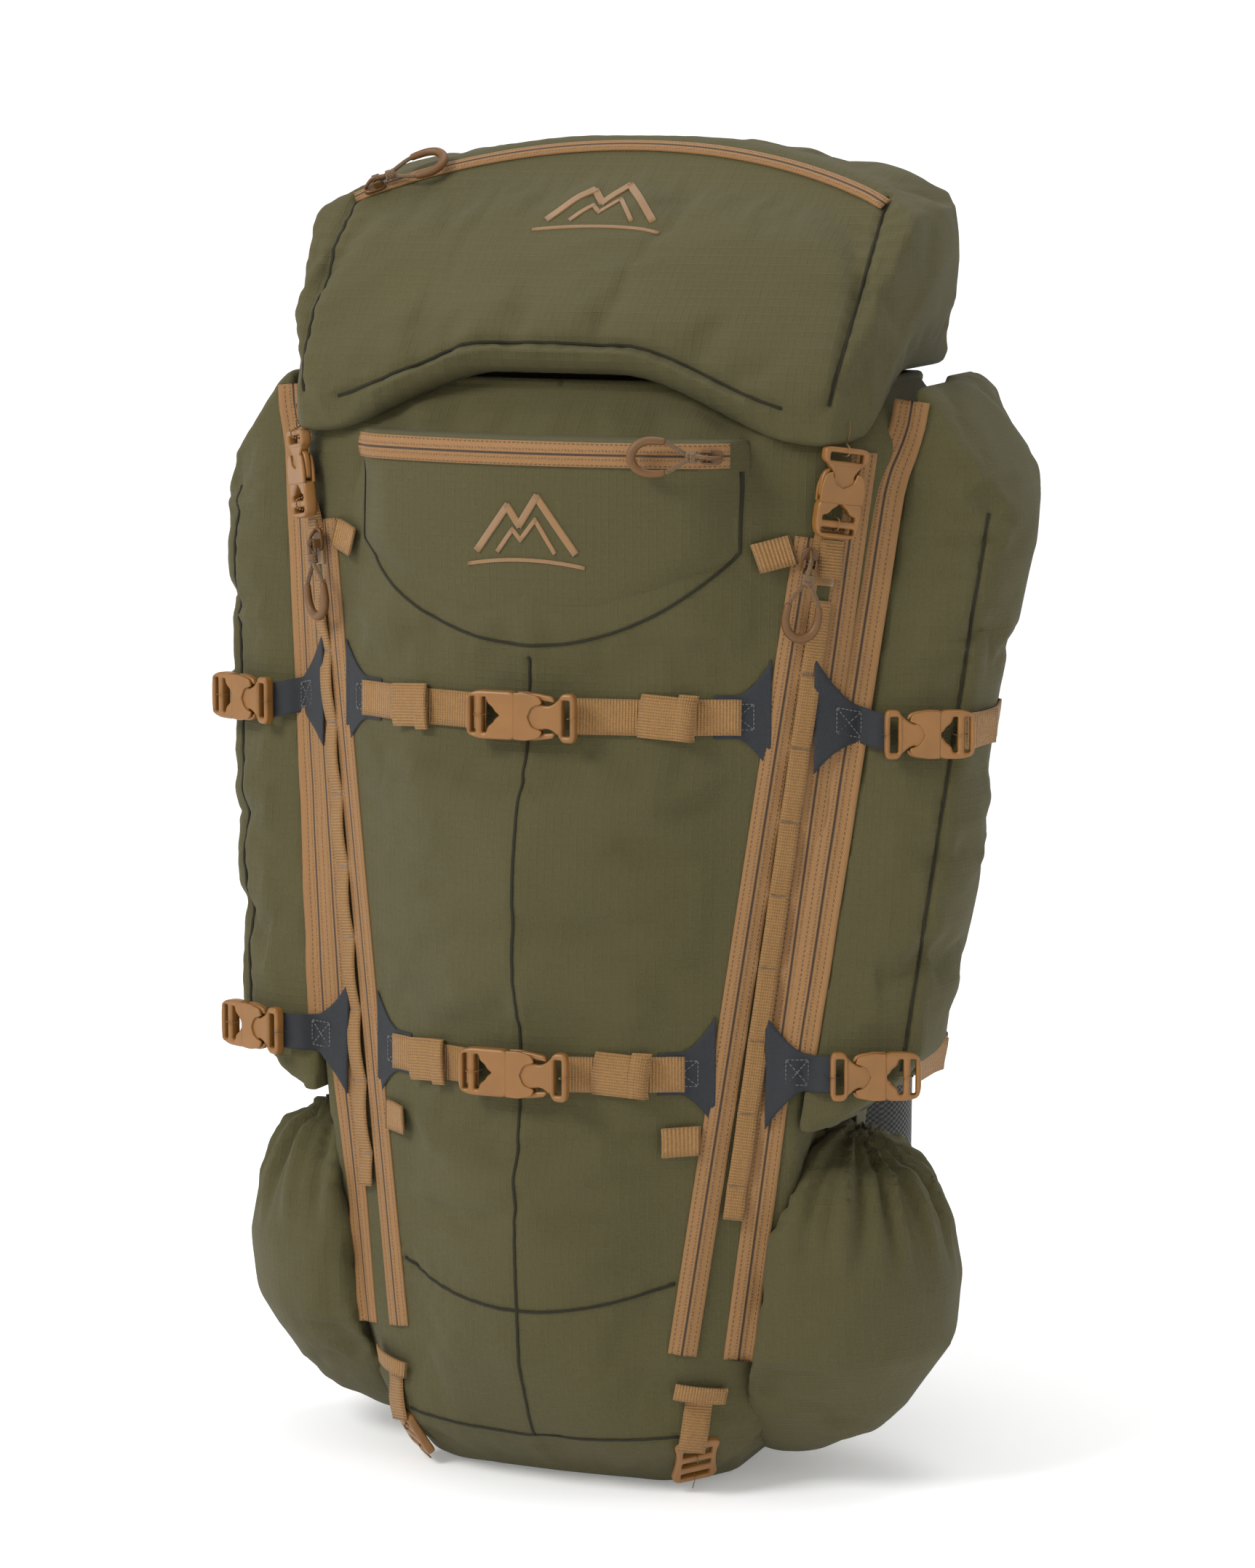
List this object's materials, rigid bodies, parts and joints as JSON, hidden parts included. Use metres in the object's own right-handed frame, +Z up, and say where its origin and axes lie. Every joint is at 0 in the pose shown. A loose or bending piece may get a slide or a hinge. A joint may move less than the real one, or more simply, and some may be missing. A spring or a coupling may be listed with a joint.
{
  "type": "hunting backpack",
  "caption": "Large internal-frame hunting backpack with hinged lid, side and base pockets, compression straps, side-release buckles and padded harness.",
  "frame": {"origin": "middle of the flat base, on the floor", "axes": "+Z up, -Y out of the pack's front, +Y towards the wearer, +X to the right in a front view"},
  "size_m": [0.613, 0.4622, 0.957],
  "materials": {
    "olive_ripstop": "ripstop pack cloth, padded",
    "charcoal_cloth": "hard-wearing plain-weave cloth",
    "tan_webbing": "ribbed nylon webbing",
    "zip_tape": "reverse-coil zip tape",
    "brown_acetal": "moulded acetal",
    "slider_metal": "painted zinc",
    "pull_cord": "braided cord in a moulded grip",
    "frame_plastic": "high-density polyethylene sheet",
    "stay_aluminium": "drawn bar",
    "spacer_mesh": "spacer mesh over foam"
  },
  "bodies": {
    "pack": {"back_pad": "spacer_mesh", "back_panel": "olive_ripstop", "base_panel": "olive_ripstop", "base_pocket_left": "olive_ripstop", "base_pocket_right": "olive_ripstop", "bottom_webs": "tan_webbing", "corner_zips": "zip_tape", "daisy_chains": "tan_webbing", "frame_sheet": "frame_plastic", "frame_stays": "stay_aluminium", "front_buckle_sockets": "brown_acetal", "front_pocket": "olive_ripstop", "front_pocket_zip": "zip_tape", "gusset_zips": "zip_tape", "haul_loop": "tan_webbing", "hip_belt": "spacer_mesh", "hip_socket": "brown_acetal", "hip_web": "tan_webbing", "lid_buckle_sockets": "brown_acetal", "load_lifters": "tan_webbing", "lower_front_strap": "tan_webbing", "lower_side_straps": "tan_webbing", "lumbar_pad": "spacer_mesh", "main_bag": "olive_ripstop", "shoulder_straps": "spacer_mesh", "shoulder_webs": "tan_webbing", "side_buckle_sockets": "brown_acetal", "side_pocket_left": "olive_ripstop", "side_pocket_right": "olive_ripstop", "side_pocket_zips": "zip_tape", "sternum_socket": "brown_acetal", "sternum_web": "tan_webbing", "strap_keepers": "tan_webbing", "strap_patches": "charcoal_cloth", "tool_tabs": "tan_webbing", "upper_front_strap": "tan_webbing", "upper_side_straps": "tan_webbing"},
    "lid": {"lid": "olive_ripstop", "lid_zip": "zip_tape", "lid_webs": "tan_webbing"},
    "upper_front_clip": {"upper_front_clip": "brown_acetal"},
    "lower_front_clip": {"lower_front_clip": "brown_acetal"},
    "upper_side_clip_right": {"upper_side_clip_right": "brown_acetal"},
    "upper_side_clip_left": {"upper_side_clip_left": "brown_acetal"},
    "lower_side_clip_right": {"lower_side_clip_right": "brown_acetal"},
    "lower_side_clip_left": {"lower_side_clip_left": "brown_acetal"},
    "lid_clip_right": {"lid_clip_right": "brown_acetal"},
    "lid_clip_left": {"lid_clip_left": "brown_acetal"},
    "sternum_clip": {"sternum_clip": "brown_acetal"},
    "hip_clip": {"hip_clip": "brown_acetal"},
    "ladder_lock_left": {"ladder_lock_left": "brown_acetal"},
    "ladder_lock_right": {"ladder_lock_right": "brown_acetal"},
    "lid_slider": {"lid_slider": "slider_metal"},
    "lid_pull": {"lid_pull": "pull_cord"},
    "front_pocket_slider": {"front_pocket_slider": "slider_metal"},
    "front_pocket_pull": {"front_pocket_pull": "pull_cord"},
    "corner_right_slider": {"corner_right_slider": "slider_metal"},
    "corner_right_pull": {"corner_right_pull": "pull_cord"},
    "corner_left_slider": {"corner_left_slider": "slider_metal"},
    "corner_left_pull": {"corner_left_pull": "pull_cord"}
  },
  "joints": [
    {"name": "lid_hinge", "type": "hinge", "parent": "pack", "child": "lid", "pos_m": [0, 0.126, 0.796], "axis": [-1, 0, 0], "range_deg": [0, 95]},
    {"name": "upper_front_clip_release", "type": "slide", "parent": "pack", "child": "upper_front_clip", "axis": [1, 0, 0], "range_m": [0, 0.024]},
    {"name": "lower_front_clip_release", "type": "slide", "parent": "pack", "child": "lower_front_clip", "axis": [1, 0, 0], "range_m": [0, 0.024]},
    {"name": "upper_side_clip_right_release", "type": "slide", "parent": "pack", "child": "upper_side_clip_right", "axis": [-0.9088, -0.4173, 0], "range_m": [0, 0.024]},
    {"name": "upper_side_clip_left_release", "type": "slide", "parent": "pack", "child": "upper_side_clip_left", "axis": [0.9088, -0.4173, 0], "range_m": [0, 0.024]},
    {"name": "lower_side_clip_right_release", "type": "slide", "parent": "pack", "child": "lower_side_clip_right", "axis": [-0.914, -0.4056, 0], "range_m": [0, 0.024]},
    {"name": "lower_side_clip_left_release", "type": "slide", "parent": "pack", "child": "lower_side_clip_left", "axis": [0.914, -0.4056, 0], "range_m": [0, 0.024]},
    {"name": "lid_clip_right_release", "type": "slide", "parent": "pack", "child": "lid_clip_right", "axis": [0.1181, 0.0799, 0.9898], "range_m": [0, 0.024]},
    {"name": "lid_clip_left_release", "type": "slide", "parent": "pack", "child": "lid_clip_left", "axis": [-0.1181, 0.0799, 0.9898], "range_m": [0, 0.024]},
    {"name": "sternum_clip_release", "type": "slide", "parent": "pack", "child": "sternum_clip", "axis": [1, 0, 0], "range_m": [0, 0.02]},
    {"name": "hip_clip_release", "type": "slide", "parent": "pack", "child": "hip_clip", "axis": [1, 0, 0], "range_m": [0, 0.034]},
    {"name": "ladder_lock_right_tilt", "type": "hinge", "parent": "pack", "child": "ladder_lock_right", "pos_m": [0.10561, -0.09162, 0.01072], "axis": [0.7583, 0.6384, 0.1316], "range_deg": [0, 40]},
    {"name": "ladder_lock_left_tilt", "type": "hinge", "parent": "pack", "child": "ladder_lock_left", "pos_m": [-0.10561, -0.09162, 0.01072], "axis": [0.7583, -0.6384, -0.1316], "range_deg": [0, 40]},
    {"name": "corner_right_zip_run", "type": "slide", "parent": "pack", "child": "corner_right_slider", "axis": [-0.1287, -0.0807, -0.9884], "range_m": [0, 0.46]},
    {"name": "corner_right_pull_swing", "type": "hinge", "parent": "corner_right_slider", "child": "corner_right_pull", "pos_m": [0.18954, -0.09022, 0.667], "axis": [-0.829, -0.5382, 0.1519], "range_deg": [0, 70]},
    {"name": "corner_left_zip_run", "type": "slide", "parent": "pack", "child": "corner_left_slider", "axis": [0.1287, -0.0807, -0.9884], "range_m": [0, 0.46]},
    {"name": "corner_left_pull_swing", "type": "hinge", "parent": "corner_left_slider", "child": "corner_left_pull", "pos_m": [-0.18954, -0.09022, 0.667], "axis": [-0.829, 0.5382, -0.1519], "range_deg": [0, 70]},
    {"name": "front_pocket_zip_run", "type": "hinge", "parent": "pack", "child": "front_pocket_slider", "pos_m": [0, 0.26224, 0.742], "axis": [0, 0, -1], "range_deg": [0, 37]},
    {"name": "front_pocket_pull_swing", "type": "hinge", "parent": "front_pocket_slider", "child": "front_pocket_pull", "pos_m": [0.13027, -0.13426, 0.742], "axis": [0, 0, 1], "range_deg": [0, 70]},
    {"name": "lid_zip_run", "type": "hinge", "parent": "lid", "child": "lid_slider", "pos_m": [0, -0.23614, 0.67499], "axis": [0, 0.6782, -0.7349], "range_deg": [0, 56]},
    {"name": "lid_pull_swing", "type": "hinge", "parent": "lid_slider", "child": "lid_pull", "pos_m": [-0.18732, 0.0191, 0.9229], "axis": [0.4726, -0.6477, -0.5977], "range_deg": [0, 70]}
  ]
}
